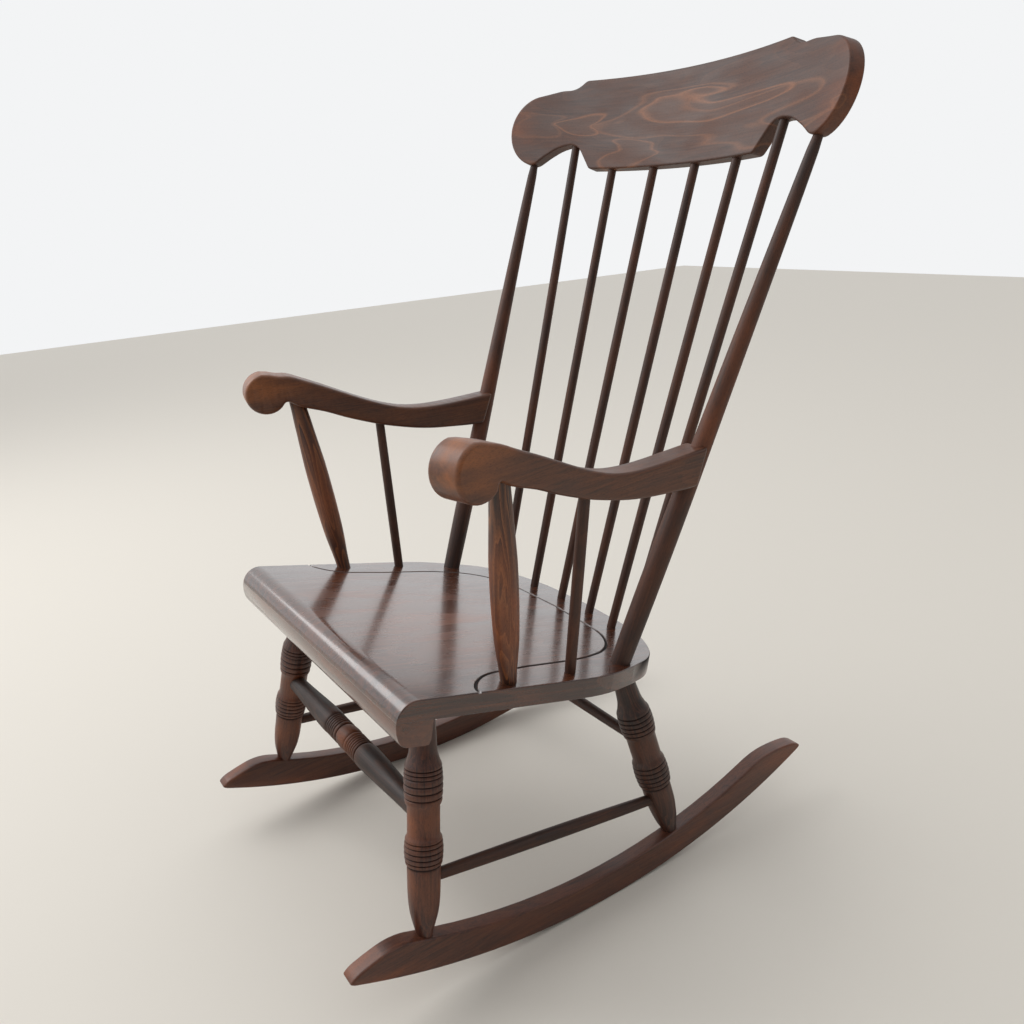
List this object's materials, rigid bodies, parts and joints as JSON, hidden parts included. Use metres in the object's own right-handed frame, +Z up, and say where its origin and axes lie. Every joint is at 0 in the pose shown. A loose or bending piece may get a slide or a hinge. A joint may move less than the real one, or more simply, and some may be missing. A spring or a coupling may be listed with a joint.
{
  "type": "rocking chair",
  "caption": "High-backed wooden rocking chair with a rolled seat, scrolled arms, turned legs and stretchers, slender back spindles, a shaped bent crest rail and curved rockers.",
  "frame": {"origin": "on the floor, midway between the rockers and midway between their front tips and the back of the crest rail", "axes": "+Z up, -Y the way the sitter faces, +X towards the sitter's left"},
  "size_m": [0.662, 0.7728, 1.06],
  "materials": {
    "stained_beech": "semi-gloss clear lacquer over dark walnut stain",
    "screw_steel": "dull bronze plating"
  },
  "bodies": {
    "root": {"arm_left": "stained_beech", "arm_right": "stained_beech", "arm_post_left": "stained_beech", "arm_post_right": "stained_beech", "arm_screws": "screw_steel", "arm_spindle_left": "stained_beech", "arm_spindle_right": "stained_beech", "back_spindle_1": "stained_beech", "back_spindle_2": "stained_beech", "back_spindle_3": "stained_beech", "back_spindle_4": "stained_beech", "back_spindle_5": "stained_beech", "back_spindle_6": "stained_beech", "crest_rail": "stained_beech", "front_leg_left": "stained_beech", "front_leg_right": "stained_beech", "front_stretcher": "stained_beech", "rear_leg_left": "stained_beech", "rear_leg_right": "stained_beech", "rear_stretcher": "stained_beech", "runner_left": "stained_beech", "runner_right": "stained_beech", "seat_board": "stained_beech", "seat_front_roll": "stained_beech", "side_stretcher_left": "stained_beech", "side_stretcher_right": "stained_beech", "stile_left": "stained_beech", "stile_right": "stained_beech"}
  },
  "joints": []
}
